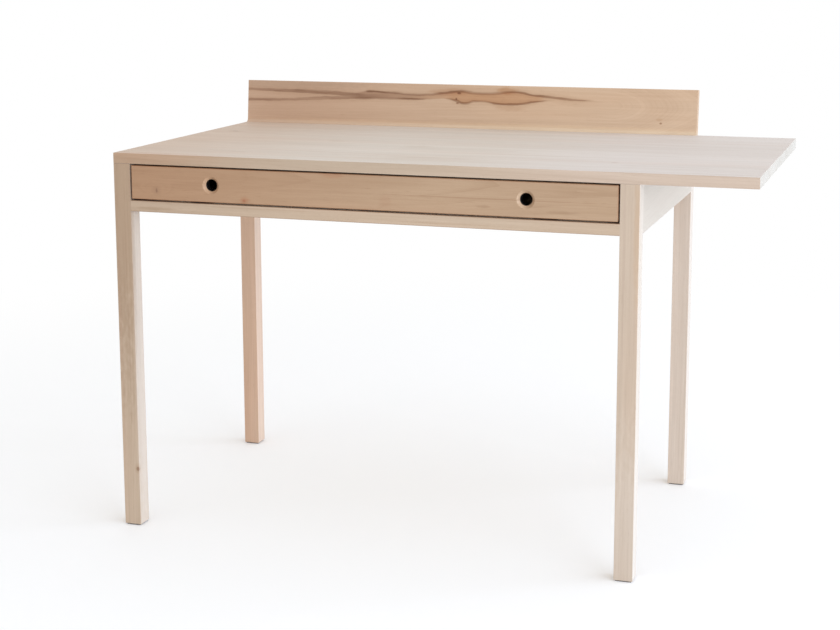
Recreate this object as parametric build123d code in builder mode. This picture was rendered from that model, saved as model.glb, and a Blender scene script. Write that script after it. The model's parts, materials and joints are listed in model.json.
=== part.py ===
from build123d import *
import math
import os

# Sewing desk in pale solid maple. A plain top on four square legs runs past the right-hand legs as a side
# leaf. One wide inset drawer with two finger holes hangs under it, and a leaning backboard with a coved foot
# closes the top at the back.
# Frame: millimetres, +X along the desk to the leaf end, +Y from the sitter to the back, +Z up. The origin is
# on the floor, below the middle of the desk's overall length and depth.
# A side is LEFT or RIGHT and an end is FRONT or BACK, so one function serves both hands of a piece.

# Overall sizes
TOP_LENGTH = 1200
TOP_DEPTH = 617
TOP_THICKNESS = 20
DESK_HEIGHT = 730
CASE_LENGTH = 1000      # over the legs; the top is flush with them on the left
CASE_DEPTH = 600        # over the legs; the top is flush with them in front
LEG = 34
ARRIS = 1               # radius that eases the exposed edges

# Backboard
BOARD_RISE = 92
BOARD_THICKNESS = 20
BOARD_LEAN = math.radians(5.5)
COVE_RADIUS = 9
COVE_TOE = 0.3          # thickness left at the cove's front edge
BOARD_ARRIS = 1.5

# Frame under the top
APRON_HEIGHT = 90
APRON_THICKNESS = 20
RAIL_HEIGHT = 21
TENON_THICKNESS = 10
TENON_SETBACK = 5       # from the outer face of apron and leg
TENON_LENGTH = 17
TENON_SHOULDER = 10     # above and below an apron's tenon
RAIL_TENON_WIDTH = 16
GLUE_SPACE = 0.5        # extra depth at the bottom of each mortise

# Drawer support
BEARER_WIDTH = 40       # width of the runners and kickers, from the apron's inner face
KICKER_THICKNESS = 16
GUIDE_PROUD = 2.5       # how far a guide stands in from the leg's inner face
TONGUE_WIDTH = 22
TONGUE_THICKNESS = 8
TONGUE_LENGTH = 8
STOP_WIDTH = 40
STOP_HEIGHT = 5.5
STOP_SPREAD = 660       # between the centres of the two stops

# Drawer
GAP = 3                 # shown all round the drawer front
SLIDE_FIT = 0.3         # drawer side above its runner
SIDE_FIT = 0.5          # drawer side under its kicker
FRONT_THICKNESS = 20
DRAWER_LENGTH = 560
SIDE_THICKNESS = 12
LAP = 6                 # front left in front of the half-blind dovetails
TAILS = 3
TAIL_WIDTH = 12         # across the wide end
TAIL_ANGLE = math.radians(8)
HOLE_DIAMETER = 22
HOLE_CHAMFER = 5.5
HOLE_SPREAD = 600
GROOVE_DEPTH = 5
PANEL_THICKNESS = 6
PANEL_PLAY = 0.25       # between a panel's edge and the bottom of its groove
BACK_INSET = 10         # from the rear end of the drawer sides to the drawer back
BACK_DROP = 3.5         # drawer back below the top of the sides
MUNTIN_WIDTH = 40
MUNTIN_THICKNESS = 12

# Fastenings
HOLE_PLAY = 0.1         # radial room round screws and dowels
HOLE_SPARE = 1          # how much deeper a hole is than the screw or dowel in it
SCREW_DIAMETER = 4
SCREW_LENGTH = 25       # below the head
HEAD_DIAMETER = 8
HEAD_HEIGHT = 3
SLOT_TRAVEL = 6         # room for the top to move across the grain
SINK_DEPTH = 5          # of the slots that take the screw heads in the kickers
TOP_SCREW_SHARES = (0.2, 0.8)      # of the way along a kicker, from the front leg to the back leg
BUTTON_WIDTH = 26
BUTTON_LENGTH = 40
BUTTON_LIP = 7
BUTTON_CHAMFER = 3
BUTTON_GROOVE_SLACK = 1
BUTTON_PITCH = 300
BUTTON_COUNT = 3
BOTTOM_SCREW_DIAMETER = 3
BOTTOM_SCREW_LENGTH = 18
BOTTOM_HEAD_DIAMETER = 6
BOTTOM_HEAD_HEIGHT = 2
BOTTOM_SCREW_OFFSETS = (-240, 0, 240)   # from the middle of the drawer
DOWEL_DIAMETER = 8
DOWEL_IN_BOARD = 14
DOWEL_IN_TOP = 26
DOWEL_PITCH = 200
DOWEL_COUNT = 5
DOWEL_BELOW_TOP = 12    # dowel axis at the joint, below the top surface
PAD_WIDTH = 28
PAD_THICKNESS = 2
FOOT_CHAMFER = 1

# Places worked out from the sizes above
LEFT, RIGHT = -1, 1
FRONT, BACK = -1, 1
SIDE_NAMES = {LEFT: "left", RIGHT: "right"}
END_NAMES = {FRONT: "front", BACK: "back"}

overall_depth = TOP_DEPTH + BOARD_RISE * math.tan(BOARD_LEAN) + BOARD_THICKNESS * math.cos(BOARD_LEAN)
front_y = -overall_depth / 2
left_x = -TOP_LENGTH / 2
case_x = left_x + CASE_LENGTH / 2
case_y = front_y + CASE_DEPTH / 2
top_z = DESK_HEIGHT
under_z = top_z - TOP_THICKNESS
frame_z = under_z - APRON_HEIGHT
rail_z = frame_z + RAIL_HEIGHT
kicker_z = under_z - KICKER_THICKNESS
drawer_z = rail_z + GAP
side_top_z = kicker_z - SIDE_FIT
side_height = side_top_z - drawer_z
tail_pitch = side_height / TAILS
panel_z = drawer_z + tail_pitch / 2 - PANEL_THICKNESS / 2
panel_top_z = panel_z + PANEL_THICKNESS
apron_back_y = front_y + CASE_DEPTH - APRON_THICKNESS
leg_front_y = front_y + LEG
leg_back_y = front_y + CASE_DEPTH - LEG
drawer_back_y = front_y + DRAWER_LENGTH - BACK_INSET
drawer_back_front_y = drawer_back_y - SIDE_THICKNESS
finger_z = (drawer_z + under_z - GAP) / 2
groove_front_y = front_y + FRONT_THICKNESS - GROOVE_DEPTH


def from_side(side, inset):
    """X of a plane the given distance in from the outer face of the legs on that side."""
    return case_x + side * (CASE_LENGTH / 2 - inset)


def centred(middle, width):
    """The two ends of a span of that width about its middle."""
    return middle - width / 2, middle + width / 2


def fill(x_span, y_span, z_span, mode=Mode.ADD):
    """A rectangular block between two values on each axis, in the part being built."""
    spans = [sorted(span) for span in (x_span, y_span, z_span)]
    with Locations(tuple(sum(span) / 2 for span in spans)):
        Box(*[high - low for low, high in spans], mode=mode)


def bearer_tongue(side, y_span, depth_play=0, mode=Mode.ADD):
    """The runner's tongue, or with depth_play the mortise that takes it."""
    middle = from_side(side, (LEG + APRON_THICKNESS + BEARER_WIDTH) / 2)
    near, far = y_span
    fill(
        centred(middle, TONGUE_WIDTH),
        (near, far + math.copysign(depth_play, far - near)),
        centred(frame_z + RAIL_HEIGHT / 2, TONGUE_THICKNESS),
        mode,
    )


def screw(x, y, head_z, shank, head):
    """A pan-head screw pointing up, the top of its head at head_z; shank and head are (diameter, length)."""
    for diameter, length in (shank, (head[0], -head[1])):
        with BuildSketch(Plane.XY.offset(head_z)) as section:
            with Locations((x, y)):
                Circle(diameter / 2)
        extrude(section.sketch, amount=length)


def top_screw_places():
    """Centre of each screw that holds the top to the kickers."""
    middle = (LEG + APRON_THICKNESS + BEARER_WIDTH) / 2
    for side in (LEFT, RIGHT):
        for share in TOP_SCREW_SHARES:
            yield from_side(side, middle), leg_front_y + share * (leg_back_y - leg_front_y)


def button_places():
    """Centre of each tabletop button along the back apron."""
    for number in range(BUTTON_COUNT):
        yield case_x + (number - (BUTTON_COUNT - 1) / 2) * BUTTON_PITCH, apron_back_y - BUTTON_LENGTH / 2


def bottom_screw_places():
    """Centre of each screw through the drawer bottom into the back; the middle one is in the muntin."""
    for offset in BOTTOM_SCREW_OFFSETS:
        yield case_x + offset, drawer_back_y - SIDE_THICKNESS / 2


# Leaning joint between the top's rear edge and the backboard
def face_y(z):
    """Y of the backboard's front face, which is also the top's rear edge, at height z."""
    return front_y + TOP_DEPTH + (z - top_z) * math.tan(BOARD_LEAN)


dowel_plane = Plane(
    origin=(case_x, face_y(top_z - DOWEL_BELOW_TOP), top_z - DOWEL_BELOW_TOP),
    x_dir=(1, 0, 0),
    z_dir=(0, -math.cos(BOARD_LEAN), math.sin(BOARD_LEAN)),
)


def dowel_row(radius, into_top, into_board, mode=Mode.ADD):
    """A row of round rods square to the leaning joint, reaching both ways from it."""
    with BuildSketch(dowel_plane.offset(-into_board)) as ends:
        with GridLocations(DOWEL_PITCH, 0, DOWEL_COUNT, 1):
            Circle(radius)
    extrude(ends.sketch, amount=into_top + into_board, mode=mode)


pieces = {}

# Top: one board, its rear edge planed to the backboard's lean
with BuildPart() as top_panel:
    with BuildSketch(Plane.YZ.offset(left_x)):
        with BuildLine():
            Polyline(
                (front_y, under_z),
                (front_y, top_z),
                (face_y(top_z), top_z),
                (face_y(under_z), under_z),
                close=True,
            )
        make_face()
    extrude(amount=TOP_LENGTH)
    eased = top_panel.faces().sort_by(Axis.Y)[0].edges()
    eased += top_panel.edges().filter_by(Axis.Y)
    fillet(eased, ARRIS)
    for places, sink in ((top_screw_places(), SINK_DEPTH), (button_places(), 0)):
        with BuildSketch(Plane.XY.offset(under_z)):
            with Locations(*places):
                Circle(SCREW_DIAMETER / 2 + HOLE_PLAY)
        extrude(amount=SCREW_LENGTH - (KICKER_THICKNESS - sink) + HOLE_SPARE, mode=Mode.SUBTRACT)
    dowel_row(DOWEL_DIAMETER / 2 + HOLE_PLAY, DOWEL_IN_TOP + HOLE_SPARE, 0, Mode.SUBTRACT)
pieces["top_panel"] = top_panel

# Backboard: its foot butts against the top's rear edge and laps on to the top as a cove
cove_tangent = COVE_RADIUS * math.tan((math.pi / 2 - BOARD_LEAN) / 2)
cove_centre_y = face_y(top_z) - cove_tangent
cove_top_z = top_z + cove_tangent * math.cos(BOARD_LEAN)
cove_toe_y = cove_centre_y + math.sqrt(COVE_RADIUS**2 - (COVE_RADIUS - COVE_TOE) ** 2)
board_top_z = top_z + BOARD_RISE
thick_y = BOARD_THICKNESS * math.cos(BOARD_LEAN)
thick_z = BOARD_THICKNESS * math.sin(BOARD_LEAN)
with BuildPart() as backboard:
    with BuildSketch(Plane.YZ.offset(left_x)):
        with BuildLine():
            cove = RadiusArc((face_y(cove_top_z), cove_top_z), (cove_toe_y, top_z + COVE_TOE), COVE_RADIUS)
            Polyline(
                cove @ 1,
                (cove_toe_y, top_z),
                (face_y(top_z), top_z),
                (face_y(under_z), under_z),
                (face_y(under_z) + BOARD_THICKNESS / math.cos(BOARD_LEAN), under_z),
                (face_y(board_top_z) + thick_y, board_top_z - thick_z),
                (face_y(board_top_z), board_top_z),
                cove @ 0,
            )
        make_face()
    extrude(amount=CASE_LENGTH)
    fillet(backboard.edges().filter_by(Axis.X).group_by(Axis.Z)[-1], BOARD_ARRIS)
    fillet(backboard.edges().filter_by(Axis.X).group_by(Axis.Y)[-1], ARRIS)
    dowel_row(DOWEL_DIAMETER / 2 + HOLE_PLAY, 0, DOWEL_IN_BOARD + HOLE_SPARE, Mode.SUBTRACT)
pieces["backboard"] = backboard

with BuildPart() as backboard_dowels:
    dowel_row(DOWEL_DIAMETER / 2, DOWEL_IN_TOP, DOWEL_IN_BOARD)
pieces["backboard_dowels"] = backboard_dowels


def make_leg(side, end):
    """A square leg, eased below the frame, with mortises for the pieces that meet it."""
    x = from_side(side, LEG / 2)
    y = case_y + end * (CASE_DEPTH - LEG) / 2
    outer_corner = (from_side(side, 0), case_y + end * CASE_DEPTH / 2, under_z - APRON_HEIGHT / 2)
    with BuildPart() as leg:
        with BuildSketch(Plane.XY.offset(PAD_THICKNESS)):
            with Locations((x, y)):
                RectangleRounded(LEG, LEG, ARRIS)
        extrude(amount=frame_z - PAD_THICKNESS)
        chamfer(leg.faces().sort_by(Axis.Z)[0].edges(), FOOT_CHAMFER)
        with BuildSketch(Plane.XY.offset(frame_z)) as head:
            with Locations((x, y)):
                Rectangle(LEG, LEG)
            fillet(head.vertices().sort_by_distance(outer_corner)[0], ARRIS)
        extrude(amount=APRON_HEIGHT)

        # mortise for the side apron, in the face towards the other end
        inner_y = y - end * LEG / 2
        fill(
            (from_side(side, TENON_SETBACK), from_side(side, TENON_SETBACK + TENON_THICKNESS)),
            (inner_y, inner_y + end * (TENON_LENGTH + GLUE_SPACE)),
            (frame_z + TENON_SHOULDER, under_z - TENON_SHOULDER),
            Mode.SUBTRACT,
        )
        # mortise for the front rail or the back apron, in the face towards the other side
        if end == FRONT:
            y_span = centred(front_y + LEG / 2, RAIL_TENON_WIDTH)
            z_span = centred(frame_z + RAIL_HEIGHT / 2, TENON_THICKNESS)
        else:
            y_span = [front_y + CASE_DEPTH - TENON_SETBACK - n * TENON_THICKNESS for n in (0, 1)]
            z_span = (frame_z + TENON_SHOULDER, under_z - TENON_SHOULDER)
        fill(
            (from_side(side, LEG), from_side(side, LEG - TENON_LENGTH - GLUE_SPACE)),
            y_span,
            z_span,
            Mode.SUBTRACT,
        )
    return leg


for side in (LEFT, RIGHT):
    for end in (FRONT, BACK):
        pieces[f"{END_NAMES[end]}_{SIDE_NAMES[side]}_leg"] = make_leg(side, end)

# Front rail under the drawer, flush with the legs
with BuildPart() as front_rail:
    shoulders = (from_side(LEFT, LEG), from_side(RIGHT, LEG))
    fill(shoulders, (front_y, leg_front_y), (frame_z, rail_z))
    fillet(front_rail.edges().filter_by(Axis.X), ARRIS)
    for side in (LEFT, RIGHT):
        fill(
            (from_side(side, LEG), from_side(side, LEG - TENON_LENGTH)),
            centred(front_y + LEG / 2, RAIL_TENON_WIDTH),
            centred(frame_z + RAIL_HEIGHT / 2, TENON_THICKNESS),
        )
        bearer_tongue(side, (leg_front_y, leg_front_y - TONGUE_LENGTH), GLUE_SPACE, Mode.SUBTRACT)
pieces["front_rail"] = front_rail


def make_side_apron(side):
    """The apron between the legs at one end of the desk, flush with their outer faces."""
    with BuildPart() as apron:
        fill(
            (from_side(side, 0), from_side(side, APRON_THICKNESS)),
            (leg_front_y, leg_back_y),
            (frame_z, under_z),
        )
        bottom = apron.edges().filter_by(Axis.Y).group_by(Axis.Z)[0]
        fillet(bottom.sort_by_distance((from_side(side, 0), case_y, frame_z))[0], ARRIS)
        fill(
            (from_side(side, TENON_SETBACK), from_side(side, TENON_SETBACK + TENON_THICKNESS)),
            (leg_front_y - TENON_LENGTH, leg_back_y + TENON_LENGTH),
            (frame_z + TENON_SHOULDER, under_z - TENON_SHOULDER),
        )
    return apron


for side in (LEFT, RIGHT):
    pieces[f"{SIDE_NAMES[side]}_apron"] = make_side_apron(side)

# Back apron, with the groove that the tabletop buttons hook into
with BuildPart() as back_apron:
    fill(
        (from_side(LEFT, LEG), from_side(RIGHT, LEG)),
        (apron_back_y, apron_back_y + APRON_THICKNESS),
        (frame_z, under_z),
    )
    fillet(back_apron.edges().filter_by(Axis.X).group_by(Axis.Z)[0].sort_by(Axis.Y)[-1], ARRIS)
    fill(
        (from_side(LEFT, LEG - TENON_LENGTH), from_side(RIGHT, LEG - TENON_LENGTH)),
        [apron_back_y + APRON_THICKNESS - TENON_SETBACK - n * TENON_THICKNESS for n in (0, 1)],
        (frame_z + TENON_SHOULDER, under_z - TENON_SHOULDER),
    )
    fill(
        centred(case_x, BUTTON_PITCH * BUTTON_COUNT),
        (apron_back_y, apron_back_y + BUTTON_LIP),
        (kicker_z - BUTTON_GROOVE_SLACK, kicker_z + BUTTON_LIP),
        Mode.SUBTRACT,
    )
    for side in (LEFT, RIGHT):
        bearer_tongue(side, (apron_back_y, apron_back_y + TONGUE_LENGTH), GLUE_SPACE, Mode.SUBTRACT)
pieces["back_apron"] = back_apron


def bearer(side, z_span):
    """The board of a runner or kicker, from the apron inwards and notched round the back leg."""
    inner = from_side(side, APRON_THICKNESS + BEARER_WIDTH)
    fill((from_side(side, APRON_THICKNESS), inner), (leg_front_y, leg_back_y), z_span)
    fill((from_side(side, LEG), inner), (leg_back_y, apron_back_y), z_span)


def make_runner(side):
    """The bearer that a drawer side slides on, tongued into the front rail and the back apron."""
    with BuildPart() as runner:
        bearer(side, (frame_z, drawer_z - SLIDE_FIT))
        bearer_tongue(side, (leg_front_y, leg_front_y - TONGUE_LENGTH))
        bearer_tongue(side, (apron_back_y, apron_back_y + TONGUE_LENGTH))
    return runner


def make_kicker(side):
    """The bearer above a drawer side, with counterbored slots for the screws into the top."""
    with BuildPart() as kicker:
        bearer(side, (kicker_z, under_z))
        for x, y in top_screw_places():
            if (x - case_x) * side > 0:
                for width, z in ((HEAD_DIAMETER, kicker_z), (SCREW_DIAMETER, under_z)):
                    slot = width + 2 * HOLE_PLAY
                    with BuildSketch(Plane.XY.offset(z)):
                        with Locations((x, y)):
                            SlotOverall(slot + SLOT_TRAVEL, slot, rotation=90)
                    extrude(amount=SINK_DEPTH if z == kicker_z else -KICKER_THICKNESS, mode=Mode.SUBTRACT)
    return kicker


def make_guide(side):
    """The strip that steers a drawer side, between runner and kicker."""
    with BuildPart() as guide:
        fill(
            (from_side(side, APRON_THICKNESS), from_side(side, LEG + GUIDE_PROUD)),
            (leg_front_y, leg_back_y),
            (drawer_z - SLIDE_FIT, kicker_z),
        )
    return guide


for side in (LEFT, RIGHT):
    pieces[f"{SIDE_NAMES[side]}_runner"] = make_runner(side)
    pieces[f"{SIDE_NAMES[side]}_guide"] = make_guide(side)
    pieces[f"{SIDE_NAMES[side]}_kicker"] = make_kicker(side)

# Stops glued to the rail, which meet the back of the drawer front
with BuildPart() as drawer_stops:
    for middle in centred(case_x, STOP_SPREAD):
        fill(
            centred(middle, STOP_WIDTH),
            (front_y + FRONT_THICKNESS, leg_front_y - ARRIS),
            (rail_z, rail_z + STOP_HEIGHT),
        )
pieces["drawer_stops"] = drawer_stops

# Fastenings of the top
with BuildPart() as top_screws:
    for x, y in top_screw_places():
        screw(x, y, kicker_z + SINK_DEPTH, (SCREW_DIAMETER, SCREW_LENGTH), (HEAD_DIAMETER, HEAD_HEIGHT))
pieces["top_screws"] = top_screws

with BuildPart() as tabletop_buttons:
    for x, y in button_places():
        fill(
            centred(x, BUTTON_WIDTH),
            (y - BUTTON_LENGTH / 2, apron_back_y - GLUE_SPACE),
            (kicker_z, under_z),
        )
        fill(
            centred(x, BUTTON_WIDTH),
            (apron_back_y - GLUE_SPACE, apron_back_y + BUTTON_LIP - GLUE_SPACE),
            (kicker_z, kicker_z + BUTTON_LIP),
        )
    chamfer(tabletop_buttons.faces().group_by(Axis.Y)[0].edges().filter_by(Axis.Z), BUTTON_CHAMFER)
    with BuildSketch(Plane.XY.offset(kicker_z)):
        with Locations(*button_places()):
            Circle(SCREW_DIAMETER / 2 + HOLE_PLAY)
    extrude(amount=KICKER_THICKNESS, mode=Mode.SUBTRACT)
pieces["tabletop_buttons"] = tabletop_buttons

with BuildPart() as button_screws:
    for x, y in button_places():
        screw(x, y, kicker_z, (SCREW_DIAMETER, SCREW_LENGTH), (HEAD_DIAMETER, HEAD_HEIGHT))
pieces["button_screws"] = button_screws

# Pads under the legs
with BuildPart() as leg_pads:
    with BuildSketch():
        with Locations((case_x, case_y)):
            with GridLocations(CASE_LENGTH - LEG, CASE_DEPTH - LEG, 2, 2):
                Rectangle(PAD_WIDTH, PAD_WIDTH)
    extrude(amount=PAD_THICKNESS)
pieces["leg_pads"] = leg_pads


def dovetails(side, mode=Mode.ADD):
    """The tails of a drawer side, spreading towards the front: added to the side, cut from the front."""
    root_y = front_y + FRONT_THICKNESS
    tip_y = front_y + LAP
    taper = (root_y - tip_y) * math.tan(TAIL_ANGLE)
    outer_x = from_side(side, LEG + GAP)
    with BuildSketch(Plane.YZ.offset(outer_x)) as tails:
        for number in range(TAILS):
            z = drawer_z + (number + 0.5) * tail_pitch
            with BuildLine():
                Polyline(
                    (tip_y, z - TAIL_WIDTH / 2),
                    (root_y, z - TAIL_WIDTH / 2 + taper),
                    (root_y, z + TAIL_WIDTH / 2 - taper),
                    (tip_y, z + TAIL_WIDTH / 2),
                    close=True,
                )
            make_face()
    extrude(tails.sketch, amount=-side * SIDE_THICKNESS, mode=mode)


# Drawer front: half-blind sockets at the ends, a groove for the bottom and two bevelled finger holes
with BuildPart() as drawer_front:
    fill(
        (from_side(LEFT, LEG + GAP), from_side(RIGHT, LEG + GAP)),
        (front_y, front_y + FRONT_THICKNESS),
        (drawer_z, under_z - GAP),
    )
    fillet(drawer_front.faces().sort_by(Axis.Y)[0].edges(), ARRIS)
    with BuildSketch(Plane.XZ.offset(-front_y)):
        with Locations((case_x, finger_z)):
            with GridLocations(HOLE_SPREAD, 0, 2, 1):
                Circle(HOLE_DIAMETER / 2)
    extrude(amount=-FRONT_THICKNESS, mode=Mode.SUBTRACT)
    rims = drawer_front.edges().filter_by(GeomType.CIRCLE).group_by(Axis.Y)
    chamfer(rims[0], HOLE_CHAMFER)
    for side in (LEFT, RIGHT):
        dovetails(side, Mode.SUBTRACT)
    fill(
        (from_side(LEFT, LEG + GAP + SIDE_THICKNESS), from_side(RIGHT, LEG + GAP + SIDE_THICKNESS)),
        (groove_front_y, front_y + FRONT_THICKNESS),
        (panel_z, panel_top_z),
        Mode.SUBTRACT,
    )
pieces["drawer_front"] = drawer_front


def make_drawer_side(side):
    """A drawer side with its tails, the groove for the bottom and the housing for the drawer back."""
    outer = from_side(side, LEG + GAP)
    inner = from_side(side, LEG + GAP + SIDE_THICKNESS)
    groove = from_side(side, LEG + GAP + SIDE_THICKNESS - GROOVE_DEPTH)
    with BuildPart() as drawer_side:
        fill(
            (outer, inner),
            (front_y + FRONT_THICKNESS, front_y + DRAWER_LENGTH),
            (drawer_z, side_top_z),
        )
        fillet(drawer_side.edges().filter_by(Axis.Y).group_by(Axis.Z)[-1], ARRIS)
        dovetails(side)
        fill((inner, groove), (front_y, front_y + DRAWER_LENGTH), (panel_z, panel_top_z), Mode.SUBTRACT)
        fill((inner, groove), (drawer_back_front_y, drawer_back_y), (panel_top_z, side_top_z), Mode.SUBTRACT)
    return drawer_side


for side in (LEFT, RIGHT):
    pieces[f"drawer_{SIDE_NAMES[side]}_side"] = make_drawer_side(side)

# Drawer back: housed in the sides, above the bottom
with BuildPart() as drawer_back:
    housed = LEG + GAP + SIDE_THICKNESS - GROOVE_DEPTH
    fill(
        (from_side(LEFT, housed), from_side(RIGHT, housed)),
        (drawer_back_front_y, drawer_back_y),
        (panel_top_z, side_top_z - BACK_DROP),
    )
    fillet(drawer_back.edges().filter_by(Axis.X).group_by(Axis.Z)[-1], ARRIS)
    with BuildSketch(Plane.XY.offset(panel_top_z)):
        with Locations(*bottom_screw_places()):
            Circle(BOTTOM_SCREW_DIAMETER / 2 + HOLE_PLAY)
    extrude(amount=BOTTOM_SCREW_LENGTH - PANEL_THICKNESS + HOLE_SPARE, mode=Mode.SUBTRACT)
pieces["drawer_back"] = drawer_back

# Muntin: the grooved bar that carries the two halves of the bottom between front and back
with BuildPart() as drawer_muntin:
    fill(
        centred(case_x, MUNTIN_WIDTH),
        (front_y + FRONT_THICKNESS, drawer_back_front_y),
        centred(panel_z + PANEL_THICKNESS / 2, MUNTIN_THICKNESS),
    )
    fillet(drawer_muntin.edges().filter_by(Axis.Y).group_by(Axis.Z)[-1], ARRIS)
    for side in (LEFT, RIGHT):
        edge = case_x + side * MUNTIN_WIDTH / 2
        fill(
            (edge, edge - side * GROOVE_DEPTH),
            (front_y, drawer_back_front_y),
            (panel_z, panel_top_z),
            Mode.SUBTRACT,
        )
    core_span = centred(case_x, MUNTIN_WIDTH - 2 * GROOVE_DEPTH)
    fill(core_span, (groove_front_y + PANEL_PLAY, front_y + FRONT_THICKNESS), (panel_z, panel_top_z))
    fill(core_span, (drawer_back_front_y, drawer_back_y), (panel_z, panel_top_z))
    with BuildSketch(Plane.XY.offset(panel_z)):
        with Locations((case_x, drawer_back_y - SIDE_THICKNESS / 2)):
            Circle(BOTTOM_SCREW_DIAMETER / 2 + HOLE_PLAY)
    extrude(amount=PANEL_THICKNESS, mode=Mode.SUBTRACT)
pieces["drawer_muntin"] = drawer_muntin


def make_bottom(side):
    """One half of the drawer bottom, slid in from behind and slotted for its screws."""
    with BuildPart() as bottom:
        fill(
            (
                from_side(side, LEG + GAP + SIDE_THICKNESS - GROOVE_DEPTH + PANEL_PLAY),
                case_x + side * (MUNTIN_WIDTH / 2 - GROOVE_DEPTH + PANEL_PLAY),
            ),
            (groove_front_y + PANEL_PLAY, drawer_back_y),
            (panel_z, panel_top_z),
        )
        for x, y in bottom_screw_places():
            if (x - case_x) * side > 0:
                width = BOTTOM_SCREW_DIAMETER + 2 * HOLE_PLAY
                with BuildSketch(Plane.XY.offset(panel_z)):
                    with Locations((x, y)):
                        SlotOverall(width + SLOT_TRAVEL / 2, width, rotation=90)
                extrude(amount=PANEL_THICKNESS, mode=Mode.SUBTRACT)
    return bottom


for side in (LEFT, RIGHT):
    pieces[f"drawer_bottom_{SIDE_NAMES[side]}"] = make_bottom(side)

with BuildPart() as bottom_screws:
    for x, y in bottom_screw_places():
        shank = (BOTTOM_SCREW_DIAMETER, BOTTOM_SCREW_LENGTH)
        screw(x, y, panel_z, shank, (BOTTOM_HEAD_DIAMETER, BOTTOM_HEAD_HEIGHT))
pieces["bottom_screws"] = bottom_screws

os.makedirs("parts", exist_ok=True)
for name, piece in pieces.items():
    piece.part.label = name
    export_step(piece.part, f"parts/{name}.step")
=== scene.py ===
import json
import math
from collections import namedtuple

import bmesh
import bpy
from mathutils import Matrix, Vector


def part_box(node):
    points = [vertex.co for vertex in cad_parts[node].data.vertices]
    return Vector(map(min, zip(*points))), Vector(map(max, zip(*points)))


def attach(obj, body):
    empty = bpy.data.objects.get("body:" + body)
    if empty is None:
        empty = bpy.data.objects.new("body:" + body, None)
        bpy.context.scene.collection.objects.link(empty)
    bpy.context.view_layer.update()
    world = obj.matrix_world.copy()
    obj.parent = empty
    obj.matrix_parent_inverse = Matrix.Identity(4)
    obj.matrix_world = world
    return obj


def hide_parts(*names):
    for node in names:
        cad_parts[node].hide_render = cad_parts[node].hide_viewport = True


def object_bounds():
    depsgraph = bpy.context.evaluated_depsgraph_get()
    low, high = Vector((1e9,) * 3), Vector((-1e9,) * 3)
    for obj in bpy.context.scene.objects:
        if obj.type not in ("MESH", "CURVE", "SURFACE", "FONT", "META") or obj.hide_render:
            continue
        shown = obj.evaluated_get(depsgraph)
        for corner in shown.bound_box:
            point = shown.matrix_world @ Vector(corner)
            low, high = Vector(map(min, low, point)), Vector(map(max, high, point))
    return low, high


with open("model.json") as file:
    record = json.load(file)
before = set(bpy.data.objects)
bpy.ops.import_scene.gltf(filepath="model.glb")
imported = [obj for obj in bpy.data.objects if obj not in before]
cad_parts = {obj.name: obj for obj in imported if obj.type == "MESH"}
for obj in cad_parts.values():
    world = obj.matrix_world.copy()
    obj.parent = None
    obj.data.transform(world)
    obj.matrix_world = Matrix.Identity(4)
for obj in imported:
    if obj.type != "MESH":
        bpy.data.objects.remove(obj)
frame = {"nodes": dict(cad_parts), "record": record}
cad_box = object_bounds()

# The looks of a pale maple sewing desk. The CAD pieces keep their shapes, and each gets a finish of its
# own: solid maple with growth rings that run through the piece, birch plywood, felt and zinc. Only the
# screws are modelled again, with a driver recess. Lengths are metres in the frame's own axes. A tint is
# what a colour is multiplied by, in linear red, green and blue.
X, Y, Z = 0, 1, 2
PARTS = ("along", "wide", "deep")   # a board's own axes
WHITE = (1, 1, 1, 1)

# Camera: where it stands, and how it is turned left, tipped down and rolled
CAMERA_PLACE = (0.8975, -3.0306, 1.0899)
CAMERA_TURN = math.radians(18.2)
CAMERA_DIP = math.radians(9.54)
CAMERA_ROLL = math.radians(-0.14)
CAMERA_LENS = 69.7
CAMERA_SHIFT = -0.10

# Light: an even room, and two soft boxes that face the desk
AMBIENT = 0.86
ROOM_COLOUR = (1.01, 1.0, 0.975, 1)
DAYLIGHT = (0.87, 1.0, 1.18)
LAMPS = {                   # place, size and power
    "window": ((8.5, 0.8, 2.5), (8.0, 3.6), 350),
    "front_window": ((3.6, -3.0, 1.5), (3.0, 2.0), 72),
}
FLOOR_RADIUS = 8.0
FLOOR_FADE = (0.9, 2.6)     # distance from the desk over which the floor turns into the white backdrop
FLOOR_LIFT = 0.07           # white added to the floor's own shade, straight and in reflections
FLOOR_COLOUR = (0.93, 0.935, 0.95, 1)

# Noise in the wood: how closely a layer is packed along and across the grain, per metre, the shift that
# keeps it apart from the others, its octaves, and for some the values of the noise over which it comes up
Layer = namedtuple("Layer", "along across shift detail rise", defaults=[None])
LAYERS = {
    "log": Layer(1.5, 6, 0, 2),             # slow wander of the growth rings
    "ripple": Layer(7, 40, 11, 1),          # small waves in them
    "patches": Layer(1.2, 16, 5, 2, (-0.5, 0.9)),       # where their late wood is darker
    "streaks": Layer(4, 95, 2, 3),
    "mottle": Layer(2.5, 14, 0, 2),
    "lines": Layer(8, 330, 3, 2),
    "dashes": Layer(38, 640, 21, 1, (0.55, 1.3)),
    "fibres": Layer(30, 1400, 4, 2),
    "vessels": Layer(170, 3600, 7, 1, (0.55, 1.1)),     # short dark lines, each one pore
    "flecks": Layer(420, 900, 8, 1, (0.75, 1.3)),       # cut ends of the rays
    "blush": Layer(1.7, 12, 13, 2, (-0.2, 1.2)),        # heartwood
    "gloss": Layer(2.5, 14, 9, 2),
    "planing": Layer(9, 30, 10, 1),
    "wear": Layer(14, 60, 6, 2, (-1.0, 0.8)),
    "ragged": Layer(60, 160, 0, 2),         # outline of a mark
    "wobble": Layer(34, 90, 17, 4),         # of the backboard's dark lines
    "broken": Layer(26, 420, 19, 3),        # how they come and go
}

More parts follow.
